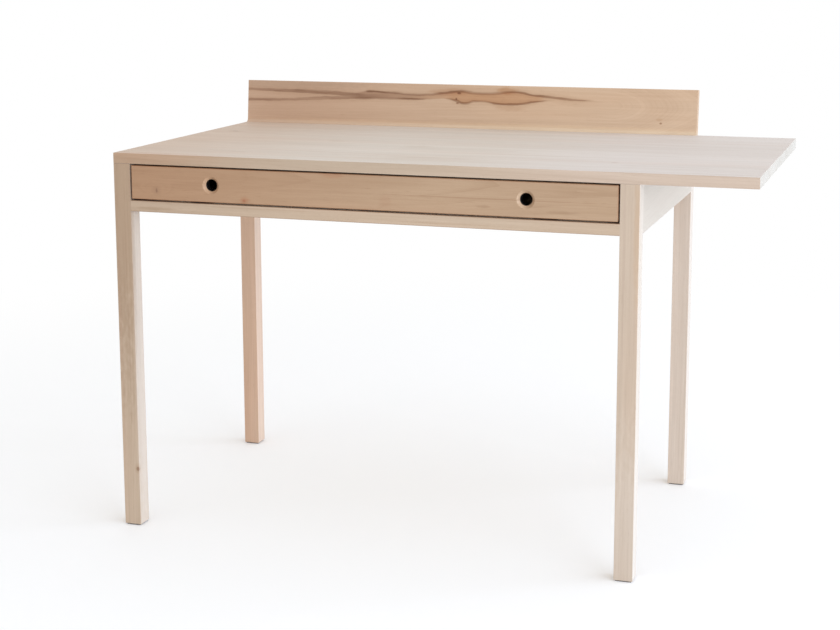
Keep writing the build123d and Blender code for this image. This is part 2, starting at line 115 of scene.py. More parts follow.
# Growth rings
RING_WIDTH = 0.0032
LOG_WANDER = 0.0055
RIPPLE_HEIGHT = 0.0007
LATE_SHARPNESS = 7.0        # power that narrows a ring's late wood to a line
LATE_EVERYWHERE = 0.07      # how dark that line is
LATE_IN_PATCHES = 0.26      # how much darker it is in patches
BANDS_PER_RING = 0.42
BANDS_PER_METRE = 1.1
BANDS_DETAIL = 3.0
BANDS_ROUGHNESS = 0.65

# How dark the wood is with nothing in it, from 0 to 1, and how much each layer darkens it, roughens it and
# stands out of it. What is fine nearly vanishes on end grain.
CLEAR = 0.34
BROADLY_DARKER = {"bands": 0.20, "streaks": 0.09, "mottle": 0.10}
FINELY_DARKER = {"late": 1.0, "lines": 0.11, "dashes": 0.38, "fibres": 0.07}
ROUGHER = {"gloss": 0.035, "fibres": 0.02, "vessels": 0.12, "ends": 0.15, "worn": -0.08}
HIGHER = {"fibres": 0.30, "vessels": -0.80, "late": 0.35, "planing": 0.80}
RELIEF_STRENGTH = 0.5
RELIEF_HEIGHT = 0.00006
SHEEN_ROUGHNESS = 0.35
COAT_ROUGHNESS = 0.35
END_QUIET = 0.85            # how much weaker the fine layers are on end grain
ARRIS_WIDTH = 0.0022        # how far the wear of an edge reaches on to its two faces

# Stains over the board's colour everywhere, and painted window light: how strong each is, and its tint
Overlay = namedtuple("Overlay", "share tint")
STAINS_AND_PAINTED_LIGHT = {
    "vessels": Overlay(0.55, (0.82, 0.77, 0.71)),
    "flecks": Overlay(0.5, (0.90, 0.85, 0.80)),
    "ends": Overlay(1.0, (0.86, 0.81, 0.76)),
    # painted light: faces towards the window paler and bluer, in place of the window's light on them
    "painted_window_light": Overlay(1.0, (1.10, 1.20, 1.32)),
    "worn": Overlay(0.6, (0.93, 0.90, 0.87)),
}

# Cosines over which a surface comes to count as looking one way
FACING = (0.6, 0.9)
EDGE_FACING = (0.5, 0.8)    # for the eased edges of the top and the rail
BEVEL_FACING = (-0.6, 0.5)
PLY_FACING = (0.7, 0.3)     # the other way round, since an edge looks neither up nor down

# Finger holes of the drawer
FINGER_HOLES = (-0.4, 0.2)
FINGER_Z = 0.6755
BORE_RADIUS = 0.011
BEVEL_RADIUS = 0.0165
SOFT_EDGE = 0.0006          # over which the bore's black and the bevel's painted light fade out
BORE_COLOUR = (0.006, 0.005, 0.005, 1)
PAINTED_BEVEL_LIGHT_TINT = (1.30, 1.38, 1.46)     # painted light on the bevel's side that faces the window

# Painted shade in the gaps round the drawer: a brown rim on its front, and brown on the rail below it
RIM_WIDTH = 0.0016
PAINTED_RIM_SHADE_TINT = (0.74, 0.50, 0.36)
PAINTED_GAP_SHADE_TINT = (0.52, 0.36, 0.26)

# The top's boards
TOP_SEAMS = (-0.163, -0.034, 0.094, 0.212)      # glue lines, as Y
SEAM_WIDTH = 0.0009         # how far a glue line darkens the wood on either side
SEAM_CORE = 0.0001          # and how far it does so fully
SEAM_SHARE = 0.5
SEAM_TINT = (0.80, 0.76, 0.72)
BOARD_APART = 7.3           # distance in the log from one board to the next
TONE_SHARE = 0.8            # how much of the tint below the darkest board may have
TONE_TINT = (0.93, 0.915, 0.90)
# painted light: the leaf's end towards the window cooler and greyer
PAINTED_WINDOW_END_TINT = (0.88, 0.96, 0.98)
# painted shade: the front edge darker than the upper face, and darker still to the left
PAINTED_SHADE_FRONT_EDGE_TINT = (0.83, 0.71, 0.59)
FRONT_EDGE_LEFT = (0.28, -0.10)     # X over which the front edge turns darker, painted shade
PAINTED_SHADE_FRONT_LEFT_TINT = (0.90, 0.91, 0.91)

# Plywood
PLY_THICKNESS = 0.0012
PLY_TURN = (0.45, 0.55)     # shares of a ply over which it gives way to the next
PLY_TINT = (0.74, 0.64, 0.54)       # of a ply seen end on

# Screws: the shank's diameter and the head's height, and the recess as shares of the head's radius and
# height
Screw = namedtuple("Screw", "body shank head")
SCREWS = {
    "top_screws": Screw("case", 0.004, 0.003),
    "button_screws": Screw("case", 0.004, 0.003),
    "bottom_screws": Screw("drawer", 0.003, 0.002),
}
SCREW_SIDES = 48
SCREW_TURNS = [2 * math.pi * number / SCREW_SIDES for number in range(SCREW_SIDES)]
SCREW_POINT = 1.6           # length of the point, in shank diameters
HEAD_PROFILE = ((0.0, 0.74), (0.12, 0.88), (0.38, 0.97), (0.66, 1.0), (1.0, 1.0))   # (height, radius)
RECESS_REACH = 0.58
RECESS_WIDTH = 0.155
RECESS_DEPTH = 0.62
RECESS_TAPER = 0.5
RECESS_MOUTH = 0.05
SMOOTH_ANGLE = math.radians(35)
WELD = 0.000001             # distance within which corners of a mesh are one

# How a board was sawn: the pith's place across and through it, and how fast rings run out of it lengthwise
Cut = namedtuple("Cut", "pith taper")
RIFT = Cut(pith=(0.046, 0.052), taper=0.006)
FLAT = Cut(pith=(0.012, -0.075), taper=0.022)
CUTS = {
    "backboard": Cut(pith=(0.021, 0.035), taper=0.010),
    "drawer_front": Cut(pith=(0.030, -0.160), taper=0.010),
    "top_panel": Cut(pith=(0.014, -0.062), taper=0.016),
}
PIECE_APART = 3.7           # distance in the log from one piece to the next
BOARD_LEAN = math.tan(math.radians(5.5))

# A solid wood finish: colours on screen from 0 to 255, the tint of its heartwood, how rough it is, its
# shares of sheen and coat, and how much painted window light makes its faces towards the window paler
# and bluer
Wood = namedtuple("Wood", "light dark blush roughness sheen coat bleach", defaults=[0.0])
WOODS = {
    "top_maple": Wood((224, 215, 206), (195, 181, 167), (1.0, 0.965, 0.945), 0.62, 0.0, 0.0),
    # its faces towards the window get the full painted window light
    "frame_maple": Wood((204, 182, 159), (175, 150, 125), (1.0, 0.945, 0.91), 0.40, 0.8, 0.5, 1.0),
    "drawer_front_maple": Wood((188, 158, 129), (160, 127, 97), (1.0, 0.94, 0.90), 0.45, 0.0, 0.0),
    "backboard_maple": Wood((216, 188, 160), (190, 158, 129), (1.0, 0.95, 0.91), 0.45, 0.15, 0.0),
    "inner_maple": Wood((209, 186, 158), (182, 153, 122), (1.0, 0.95, 0.91), 0.60, 0.1, 0.0),
    "dowel_beech": Wood((204, 168, 132), (172, 132, 99), (1.0, 0.92, 0.86), 0.60, 0.1, 0.0),
    "birch_ply": Wood((220, 202, 174), (198, 172, 138), (1.0, 0.96, 0.90), 0.55, 0.1, 0.0),
}
OWN_WOODS = {               # pieces whose finish differs a little from the rest of their wood
    "front_rail": WOODS["frame_maple"]._replace(sheen=0.05, coat=0.0),
    # less painted window light on its face towards the window
    "back_right_leg": WOODS["frame_maple"]._replace(bleach=0.2),
}
TONES = {                   # how the colour on screen of one piece differs from the rest of its wood
    "front_left_leg": (0.97, 0.96, 0.95),
    "front_right_leg": (1.00, 1.01, 1.03),
    "back_left_leg": (1.03, 0.97, 0.95),
    "back_right_leg": (1.07, 1.11, 1.18),
    "right_apron": (0.92, 0.93, 0.93),
}

# Painted light and shade on one piece: washes, which come up from one place to another along an axis.
# Darker towards the left, away from the window, is painted shade; paler at the backboard's cove and at
# the top's right end is painted light.
Wash = namedtuple("Wash", "axis start end tint")
PAINTED_LIGHT_WASHES = {
    "backboard": (
        # painted shade: darker towards the left, away from the window
        Wash(X, 0.20, -0.62, (0.85, 0.77, 0.75)),
        # painted light: paler and bluer at the foot, on the cove
        Wash(Z, 0.740, 0.731, (1.04, 1.11, 1.18)),      # the cove
    ),
    # painted shade: darker towards the left
    "drawer_front": (Wash(X, 0.10, -0.60, (0.90, 0.78, 0.70)),),
    # painted shade to the left, painted light towards the right end
    "top_panel": (Wash(X, -0.15, -0.62, (0.91, 0.80, 0.72)), Wash(X, 0.0, 0.35, (1.04, 1.06, 1.13))),
    # painted shade: darker towards the left
    "front_rail": (Wash(X, 0.0, -0.60, (0.87, 0.85, 0.83)),),
}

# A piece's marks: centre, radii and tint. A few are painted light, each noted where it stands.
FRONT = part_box("drawer_front")[0].y     # the drawer, the legs and the top are flush in front
TOP = 0.73                              # upper face of the top
MARKS = {
    "backboard": (
        ((-0.003, 0.30, 0.8110), (0.0240, 1.0, 0.0085), (0.86, 0.73, 0.61)),
        ((0.005, 0.30, 0.7750), (0.0340, 1.0, 0.0060), (0.91, 0.86, 0.82)),
        ((-0.130, 0.30, 0.8060), (0.0450, 1.0, 0.0080), (0.92, 0.84, 0.78)),
        ((-0.109, 0.30, 0.8038), (0.0046, 1.0, 0.0025), (0.50, 0.40, 0.34)),
        ((-0.115, 0.30, 0.7915), (0.0026, 1.0, 0.0030), (0.42, 0.31, 0.26)),
        ((-0.112, 0.30, 0.7830), (0.0040, 1.0, 0.0022), (0.55, 0.42, 0.34)),
        ((0.326, 0.30, 0.7520), (0.0026, 0.05, 0.0020), (0.56, 0.44, 0.36)),
        ((0.323, 0.30, 0.7590), (0.0075, 0.05, 0.0030), (0.90, 0.84, 0.79)),
        # painted light: paler along the board's foot, at the cove
        ((0.000, 0.30, 0.7350), (0.7200, 1.0, 0.0075), (1.07, 1.08, 1.05)),
        ((-0.500, 0.30, 0.8160), (0.2000, 1.0, 0.0140), (0.87, 0.87, 0.87)),
    ),
    "drawer_front": (
        ((-0.511, FRONT, 0.6620), (0.0100, 0.016, 0.0085), (0.90, 0.88, 0.88)),
        ((-0.511, FRONT, 0.6620), (0.0028, 0.016, 0.0052), (0.70, 0.66, 0.66)),
        ((-0.332, FRONT, 0.6510), (0.0095, 0.016, 0.0075), (0.95, 0.80, 0.74)),
        ((-0.333, FRONT, 0.6500), (0.0034, 0.016, 0.0028), (0.86, 0.66, 0.58)),
        ((-0.057, FRONT, 0.6620), (0.0120, 0.016, 0.0120), (0.97, 0.93, 0.92)),
        ((0.122, FRONT, 0.6600), (0.0160, 0.016, 0.0028), (0.86, 0.83, 0.80)),
        ((0.265, FRONT, 0.6555), (0.0280, 0.016, 0.0030), (0.87, 0.84, 0.81)),
        ((0.150, FRONT, 0.6740), (0.2300, 0.016, 0.0011), (0.84, 0.78, 0.73)),
        ((-0.160, FRONT, 0.7040), (0.0220, 0.016, 0.0050), (0.96, 0.86, 0.82)),
    ),
    "top_panel": (
        ((-0.540, 0.098, TOP), (0.0200, 0.0120, 0.018), (0.90, 0.88, 0.86)),
        ((-0.540, 0.098, TOP), (0.0070, 0.0050, 0.018), (0.80, 0.77, 0.74)),
        ((0.330, -0.195, TOP), (0.0080, 0.0070, 0.018), (0.90, 0.86, 0.84)),
        ((-0.080, -0.060, TOP), (0.0300, 0.0140, 0.018), (0.95, 0.93, 0.91)),
        ((-0.270, -0.015, TOP), (0.0200, 0.0120, 0.018), (0.95, 0.93, 0.91)),
        ((-0.500, FRONT, TOP), (0.1300, 0.0300, 0.018), (1.00, 0.95, 0.93)),
    ),
    "front_left_leg": (
        ((-0.569, FRONT, 0.1150), (0.0032, 0.010, 0.0042), (0.60, 0.47, 0.38)),
        ((-0.569, FRONT, 0.1150), (0.0080, 0.010, 0.0110), (0.90, 0.85, 0.80)),
        ((-0.595, FRONT, 0.3900), (0.0030, 0.030, 0.2600), (0.94, 0.90, 0.89)),
        ((-0.579, FRONT, 0.4300), (0.0022, 0.030, 0.2200), (0.93, 0.90, 0.88)),
        ((-0.583, FRONT, 0.7000), (0.0600, 0.012, 0.4200), (0.80, 0.73, 0.66)),
        # painted light: paler and bluer on the leg's face towards the window
        ((-0.566, -0.300, 0.3500), (0.0035, 0.036, 0.4500), (1.06, 1.11, 1.22)),
    ),
    "front_right_leg": (
        ((0.396, FRONT, 0.6200), (0.0055, 0.030, 0.1400), (0.97, 0.91, 0.84)),
        ((0.374, FRONT, 0.5600), (0.0025, 0.030, 0.1800), (0.95, 0.93, 0.93)),
        # painted light: paler and bluer towards the leg's foot
        ((0.383, FRONT, 0.0000), (0.1000, 0.100, 0.2600), (1.09, 1.14, 1.21)),
    ),
    "front_rail": (
        ((-0.520, FRONT, 0.6275), (0.0450, 0.020, 0.0030), (0.85, 0.82, 0.78)),
        ((-0.300, FRONT, 0.6360), (0.1400, 0.020, 0.0016), (0.92, 0.88, 0.85)),
        ((0.060, FRONT, 0.6260), (0.0900, 0.020, 0.0014), (0.93, 0.90, 0.87)),
    ),
}
MARK_RAGGED = 0.25
MARK_FADE = (1.3, 0.4)      # reach, in radii, over which a mark comes up

# Its knots, which bend the growth rings round them: centre, radii, raggedness and how far the rings shift
Knot = namedtuple("Knot", "centre radii ragged shift")
KNOTS = {
    "backboard": (Knot((-0.06, 0.30, 0.793), (0.10, 1.0, 0.022), 0.1, -0.009),),
    "drawer_front": (
        Knot((-0.511, FRONT, 0.662), (0.035, 1.0, 0.016), 0.0, -0.006),
        Knot((-0.332, FRONT, 0.651), (0.035, 1.0, 0.016), 0.0, 0.006),
        Knot((-0.050, FRONT, 0.662), (0.035, 1.0, 0.016), 0.0, 0.003),
    ),
}
ARCH_REACH = (0.22, 0.46)   # X over which the backboard's rings close into cathedral arcs
ARCH_SHIFT = 0.045

# The backboard's mineral streak: dark lines that part and meet, brown between the upper and the lower one.
# Each point is X in millimetres, with the line's Z or half its width in millimetres, or its darkness from
# 0 to 1.
STREAK_LINES = {
    "upper": {
        "path": [
            (-600, 800), (-500, 798), (-400, 795.5), (-350, 796), (-328, 800), (-313, 801.5), (-255, 798.5),
            (-200, 796), (-150, 800), (-112, 805), (-70, 802), (-25, 803), (5, 807), (60, 800), (150, 793),
            (240, 790), (400, 789),
        ],
        "darkness": [
            (-600, 0), (-334, 0), (-318, 0.85), (-300, 1), (-270, 0.85), (-240, 0.70), (-205, 0.60),
            (-160, 0.70), (-127, 0.95), (-80, 0.65), (-25, 0.60), (10, 0.80), (85, 1), (145, 0.95),
            (172, 0.45), (215, 0), (400, 0),
        ],
        "width": [
            (-600, 3), (-350, 1.6), (-310, 2.6), (-250, 2.8), (-127, 3.4), (-27, 3.8), (40, 3), (110, 3.2),
            (170, 2.0), (400, 1.5),
        ],
    },
    "middle": {
        "path": [
            (-600, 800), (-500, 798), (-400, 795.5), (-357, 793), (-310, 791), (-240, 790), (400, 790),
        ],
        "darkness": [
            (-600, 0.75), (-485, 0.88), (-415, 0.85), (-357, 0.80), (-320, 0.45), (-280, 0.25), (-235, 0),
            (400, 0),
        ],
        "width": [(-600, 3.6), (-485, 4.2), (-415, 5.4), (-357, 5.6), (-300, 5.0), (400, 4.0)],
    },
    "lower": {
        "path": [
            (-600, 777), (-500, 779.5), (-400, 785), (-350, 786), (-190, 787), (-145, 789), (-113, 785),
            (-96, 780), (-75, 785), (-50, 785), (-20, 780), (20, 781), (60, 787), (100, 792), (400, 792),
        ],
        "darkness": [
            (-600, 0.90), (-555, 0.80), (-485, 0.60), (-415, 0.70), (-350, 0.80), (-318, 0.85),
            (-262, 0.45), (-222, 0.95), (-190, 0.70), (-150, 0.15), (-113, 0.90), (-85, 0.75), (-55, 0.65),
            (-20, 1), (25, 1), (72, 0.80), (108, 0), (400, 0),
        ],
        "width": [
            (-600, 3.2), (-485, 3.8), (-415, 4.2), (-357, 4.0), (-318, 3.4), (-222, 2.8), (-150, 1.6),
            (-100, 3.8), (-60, 3.2), (-20, 2.8), (60, 2.4), (110, 1.4), (400, 1.4),
        ],
    },
}
STREAK_FILL = [
    (-600, 0), (-425, 0), (-380, 0.10), (-345, 0.55), (-315, 0.95), (-200, 0.90), (-150, 0.75), (-115, 1),
    (60, 0.85), (98, 0), (400, 0),
]
BOARD_LEFT = -600
BOARD_LENGTH = 1000
BOARD_FOOT = 730
RISE_SCALE = 100            # rise that the paths are drawn over
WIDTH_SCALE = 10            # half width that the widths are drawn over
WOBBLE = 0.0012
STREAK_DIP = 0.30           # how far the streak sinks towards the back of the board, as a slope
BREAKS = (0.26, 0.88)       # how much a line's darkness varies, and its mean
LINE_FADE = (1.15, 0.40)    # reach, in half widths, over which a line comes up
HALO_FADE = (3.4, 0.9)
HALO_SHARE = 0.35
FILL_SOFT = (0.002, -0.0015)        # distance from a line over which the brown comes up
ORANGE_FROM = (-0.23, -0.12)        # X over which the brown turns orange
STREAK_LINE_TINT = (0.50, 0.40, 0.32)
STREAK_HALO_TINT = (0.80, 0.71, 0.64)
STREAK_BROWN_TINT = (0.71, 0.62, 0.56)
STREAK_ORANGE_TINT = (0.85, 0.69, 0.55)


def colour(red, green, blue):
    """A colour written as on screen, from 0 to 255, turned into the linear values that shaders take."""
    def linear(value):
        share = value / 255
        return share / 12.92 if share <= 0.04045 else ((share + 0.055) / 1.055) ** 2.4
    return linear(red), linear(green), linear(blue), 1.0


class Graph:
    """The node tree of one material, with short calls for the nodes that the finishes share."""

    def __init__(self, name):
        self.material = bpy.data.materials.new(name)
        self.material.use_nodes = True
        self.tree = self.material.node_tree
        self.tree.nodes.clear()

    def node(self, kind, inputs=(), **settings):
        made = self.tree.nodes.new("ShaderNode" + kind)
        for name, value in settings.items():
            setattr(made, name, value)
        for socket, value in dict(inputs).items():
            if isinstance(value, bpy.types.NodeSocket):
                self.tree.links.new(value, made.inputs[socket])
            else:
                made.inputs[socket].default_value = value
        return made

    def math(self, operation, *values, clamp=False):
        made = self.node("Math", enumerate(values), operation=operation, use_clamp=clamp)
        return made.outputs[0]

    def total(self, first, *others):
        for other in others:
            first = self.math("ADD", first, other)
        return first

    def product(self, first, *others):
        for other in others:
            first = self.math("MULTIPLY", first, other)
        return first

    def weigh(self, values, weights):
        """The sum of the named values, each times the weight of that name."""
        return self.total(*(self.math("MULTIPLY", values[name], weights[name]) for name in weights))

    def number(self, name):
        """A number that is set later, and on each copy of the material."""
        return self.node("Value", name=name).outputs[0]

    def paint(self, name):
        """A colour that is set later, and on each copy of the material."""
        return self.node("RGB", name=name).outputs[0]

    def vector(self, x, y, z):
        return self.node("CombineXYZ", {"X": x, "Y": y, "Z": z}).outputs[0]

    def length(self, vector):
        return self.node("VectorMath", {0: vector}, operation="LENGTH").outputs["Value"]

    def blend(self, share, first, second, kind="MIX"):
        """Colour between first and second."""
        made = self.node("Mix", {0: share, 6: first, 7: second}, data_type="RGBA", blend_type=kind)
        return made.outputs[2]

    def tint(self, base, share, tint):
        """The base colour times the tint, where share is 1."""
        return self.blend(share, base, (*tint, 1), "MULTIPLY")

    def step(self, value, start, end):
        """0 before start and 1 after end, with a smooth rise between; start may be the larger."""
        inputs = {"Value": value, "From Min": start, "From Max": end}
        return self.node("MapRange", inputs, interpolation_type="SMOOTHSTEP").outputs[0]

    def curve(self, value, points):
        """A smooth line through (value, result) points, all from 0 to 1."""
        made = self.node("FloatCurve", {"Value": value})
        line = made.mapping.curves[0].points
        while len(line) < len(points):
            line.new(1, 1)
        for point, place in zip(line, points):
            point.location = place
        made.mapping.update()
        return made.outputs[0]

    def noise(self, vector, detail=2.0, roughness=0.5, scale=1.0):
        """Smooth noise about 0, mostly between -1 and 1."""
        inputs = {"Vector": vector, "Scale": scale, "Detail": detail, "Roughness": roughness}
        return self.math("MULTIPLY_ADD", self.node("TexNoise", inputs).outputs[0], 4.0, -2.0)

    def surface(self, shader):
        output = self.node("OutputMaterial", {"Surface": shader.outputs[0]})
        output.is_active_output = True
        return self.material


class Grain:
    """A piece's own place in the log: coordinates along, across and through the board."""

    def __init__(self, graph):
        self.graph = graph
        where = graph.node("TexCoord").outputs
        self.place = graph.node("SeparateXYZ", {0: where["Object"]}).outputs
        self.normal = graph.node("SeparateXYZ", {0: where["Normal"]}).outputs
        self.along, self.wide, self.deep = (
            graph.math("SUBTRACT", self.dot(where["Object"], part), graph.number(part + "_middle"))
            for part in PARTS
        )
        self.insets = [
            graph.math("SUBTRACT", graph.number(part + "_half"), graph.math("ABSOLUTE", value))
            for part, value in zip(PARTS, (self.along, self.wide, self.deep))
        ]
        self.start = graph.number("start")
        facing = self.dot(where["Normal"], "facing")
        self.end_grain = graph.step(graph.math("ABSOLUTE", facing), *FACING)
        self.long_grain = graph.math("MULTIPLY_ADD", self.end_grain, -END_QUIET, 1.0)

    def dot(self, vector, name):
        """The vector's share in a direction that is set later."""
        made = self.graph.node("VectorMath", {0: vector}, operation="DOT_PRODUCT", name=name)
        return made.outputs["Value"]

    def layer(self, name):
        """One layer of noise, drawn out along the grain."""
        graph = self.graph
        layer = LAYERS[name]
        vector = graph.vector(
            graph.math("MULTIPLY_ADD", self.along, layer.along, self.start),
            graph.math("MULTIPLY_ADD", self.wide, layer.across, layer.shift),
            graph.math("MULTIPLY", self.deep, layer.across),
        )
        noise = graph.noise(vector, detail=layer.detail)
        return graph.step(noise, *layer.rise) if layer.rise else noise

    def spot(self, centre, radii, ragged=MARK_RAGGED):
        """1 at a place in the frame, fading to 0 at about the radii from it, with a ragged outline."""
        graph = self.graph
        ways = [
            graph.math("DIVIDE", graph.math("SUBTRACT", value, middle), radius)
            for value, middle, radius in zip(self.place, centre, radii)
        ]
        distance = graph.length(graph.vector(*ways))
        return graph.step(graph.math("MULTIPLY_ADD", self.layer("ragged"), ragged, distance), *MARK_FADE)

    def knots(self, name):
        """How far each knot of a piece moves the growth rings."""
        return [
            self.graph.math("MULTIPLY", self.spot(knot.centre, knot.radii, knot.ragged), knot.shift)
            for knot in KNOTS[name]
        ]

    def growth(self, *bends):
        """How far a point grew from the pith; knots and curves of the log add their bends."""
        graph = self.graph
        across = graph.math("SUBTRACT", self.wide, graph.number("pith_across"))
        through = graph.math("SUBTRACT", self.deep, graph.number("pith_through"))
        return graph.total(
            graph.length(graph.vector(across, through, 0.0)),
            graph.math("MULTIPLY", self.along, graph.number("taper")),
            graph.math("MULTIPLY", self.layer("log"), LOG_WANDER),
            graph.math("MULTIPLY", self.layer("ripple"), RIPPLE_HEIGHT),
            *bends,
        )

    def edge(self, width=ARRIS_WIDTH):
        """1 along the piece's long arrises and ends, fading over the width given."""
        graph = self.graph
        end, side, face = self.insets
        nearer = graph.math("MINIMUM", end, side)
        further = graph.math("MAXIMUM", end, side)
        second = graph.math("MAXIMUM", nearer, graph.math("MINIMUM", further, face))
        return graph.step(second, width, 0.0)


def figure(graph, grain, growth):
    """How dark the wood is, 0 to 1: lines of late wood, bands that follow the rings, streaks and fibres."""
    age = graph.math("DIVIDE", growth, RING_WIDTH)
    line = graph.math("POWER", graph.math("FRACT", age), LATE_SHARPNESS)
    depth = graph.math("MULTIPLY_ADD", grain.layer("patches"), LATE_IN_PATCHES, LATE_EVERYWHERE)
    across = graph.math("MULTIPLY", age, BANDS_PER_RING)
    along = graph.math("MULTIPLY", grain.along, BANDS_PER_METRE)
    parts = {name: grain.layer(name) for name in ("streaks", "mottle", "lines", "dashes", "fibres")}
    parts["late"] = graph.math("MULTIPLY", line, depth)
    parts["bands"] = graph.noise(
        graph.vector(across, along, grain.start), detail=BANDS_DETAIL, roughness=BANDS_ROUGHNESS
    )
    broad = graph.math("ADD", graph.weigh(parts, BROADLY_DARKER), CLEAR)
    fine = graph.weigh(parts, FINELY_DARKER)
    return graph.math("MULTIPLY_ADD", fine, grain.long_grain, broad, clamp=True)


def board_colour(graph, grain, growth, name):
    """Wood colour, a blush of heartwood in places, washes of painted light and shade, and the piece's
    marks.
    """
    base = graph.blend(figure(graph, grain, growth), graph.paint("light"), graph.paint("dark"))
    base = graph.blend(grain.layer("blush"), base, graph.paint("blush"), "MULTIPLY")
    for wash in PAINTED_LIGHT_WASHES.get(name, ()):
        base = graph.tint(base, graph.step(grain.place[wash.axis], wash.start, wash.end), wash.tint)
    for centre, radii, tint in MARKS.get(name, ()):
        base = graph.tint(base, grain.spot(centre, radii), tint)
    return base


def wood_shader(graph, grain, base, growth):
    """Finished surface: pores, end grain, painted window light, worn places and relief on the board's
    colour.
    """
    parts = {name: grain.layer(name) for name in ("fibres", "gloss", "planing")}
    for name in ("vessels", "flecks"):
        parts[name] = graph.math("MULTIPLY", grain.layer(name), grain.long_grain)
    parts["ends"] = grain.end_grain
    # painted light: faces towards the window paler and bluer, in place of the window's light
    parts["painted_window_light"] = graph.math("MULTIPLY", graph.step(grain.normal[X], *FACING), graph.number("bleach"))
    parts["worn"] = graph.math("MULTIPLY", grain.edge(), grain.layer("wear"))
    parts["late"] = graph.math("FRACT", graph.math("DIVIDE", growth, RING_WIDTH))
    for name, overlay in STAINS_AND_PAINTED_LIGHT.items():
        base = graph.tint(base, graph.math("MULTIPLY", parts[name], overlay.share), overlay.tint)
    height = graph.math("MULTIPLY", graph.weigh(parts, HIGHER), grain.long_grain)
    bump = graph.node("Bump", {"Strength": RELIEF_STRENGTH, "Distance": RELIEF_HEIGHT, "Height": height})
    inputs = {
        "Base Color": base,
        "Roughness": graph.math("ADD", graph.number("roughness"), graph.weigh(parts, ROUGHER)),
        "Sheen Roughness": SHEEN_ROUGHNESS,
        "Coat Roughness": COAT_ROUGHNESS,
        "Normal": bump.outputs[0],
    }
    return graph.surface(graph.node("BsdfPrincipled", inputs, name="shader"))


def fit_to_piece(material, name, wood, cut, number, along, lean):
    """Sets a wood material's numbers for one piece.

    The grain runs along the axis given, or where that is None along the longest side. Lean is the slope of
    its face, Y over Z.
    """
    low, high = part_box(name)
    size = high - low
    middle = (low + high) / 2
    axes = sorted((X, Y, Z), key=lambda axis: (axis != along, -size[axis]))
    nodes = material.node_tree.nodes
    values = {
        "start": PIECE_APART * number,
        "roughness": wood.roughness,
        "bleach": wood.bleach,
        "taper": cut.taper,
    }
    values["pith_across"], values["pith_through"] = cut.pith
    for part, axis in zip(PARTS, axes):
        direction = [float(way == axis) for way in (X, Y, Z)]
        if lean and part == "deep":
            direction[Z] = -lean
        nodes[part].inputs[1].default_value = direction
        values[part + "_middle"] = sum(way * at for way, at in zip(direction, middle))
        values[part + "_half"] = size[axis] / 2
    nodes["facing"].inputs[1].default_value = nodes["along"].inputs[1].default_value
    for key, value in values.items():
        nodes[key].outputs[0].default_value = value
    for shade, painted in (("light", wood.light), ("dark", wood.dark)):
        toned = (value * share for value, share in zip(painted, TONES.get(name, (1, 1, 1))))
        nodes[shade].outputs[0].default_value = colour(*toned)
    nodes["blush"].outputs[0].default_value = (*wood.blush, 1)
    nodes["shader"].inputs["Sheen Weight"].default_value = wood.sheen
    nodes["shader"].inputs["Coat Weight"].default_value = wood.coat


def make_camera():
    data = bpy.data.cameras.new("camera")
    data.lens = CAMERA_LENS
    data.shift_y = CAMERA_SHIFT
    camera = bpy.data.objects.new("camera", data)
    turn = Matrix.Rotation(CAMERA_TURN, 3, "Z")
    dip = Matrix.Rotation(math.pi / 2 - CAMERA_DIP, 3, "X")
    roll = Matrix.Rotation(CAMERA_ROLL, 3, "Z")
    camera.matrix_world = Matrix.Translation(CAMERA_PLACE) @ (turn @ dip @ roll).to_4x4()
    bpy.context.scene.collection.objects.link(camera)
    bpy.context.scene.camera = camera


def make_world():
    """An even pale room, which is white where it is seen straight or in a reflection."""
    world = bpy.data.worlds.new("studio")
    world.use_nodes = True
    tree = world.node_tree
    tree.nodes.clear()
    path = tree.nodes.new("ShaderNodeLightPath")
    seen = tree.nodes.new("ShaderNodeMath")
    seen.operation = "MAXIMUM"
    tree.links.new(path.outputs["Is Camera Ray"], seen.inputs[0])
    tree.links.new(path.outputs["Is Glossy Ray"], seen.inputs[1])
    strength = tree.nodes.new("ShaderNodeMapRange")
    tree.links.new(seen.outputs[0], strength.inputs["Value"])
    strength.inputs["To Min"].default_value = AMBIENT
    strength.inputs["To Max"].default_value = 1.0
    tint = tree.nodes.new("ShaderNodeMix")
    tint.data_type = "RGBA"
    tree.links.new(seen.outputs[0], tint.inputs[0])
    tint.inputs[6].default_value = ROOM_COLOUR
    tint.inputs[7].default_value = WHITE
    background = tree.nodes.new("ShaderNodeBackground")
    tree.links.new(strength.outputs[0], background.inputs["Strength"])
    tree.links.new(tint.outputs[2], background.inputs["Color"])
    output = tree.nodes.new("ShaderNodeOutputWorld")
    tree.links.new(background.outputs[0], output.inputs["Surface"])
    bpy.context.scene.world = world


def make_light(name, place, size, power):
    """A soft box that faces the middle of the desk."""
    data = bpy.data.lights.new(name, "AREA")
    data.shape = "RECTANGLE"
    data.size, data.size_y = size
    data.energy = power
    data.color = DAYLIGHT
    light = bpy.data.objects.new(name, data)
    low, high = cad_box
    towards = (low + high) / 2 - Vector(place)
    light.matrix_world = Matrix.Translation(place) @ towards.to_track_quat("-Z", "Y").to_matrix().to_4x4()
    light.visible_camera = False
    bpy.context.scene.collection.objects.link(light)


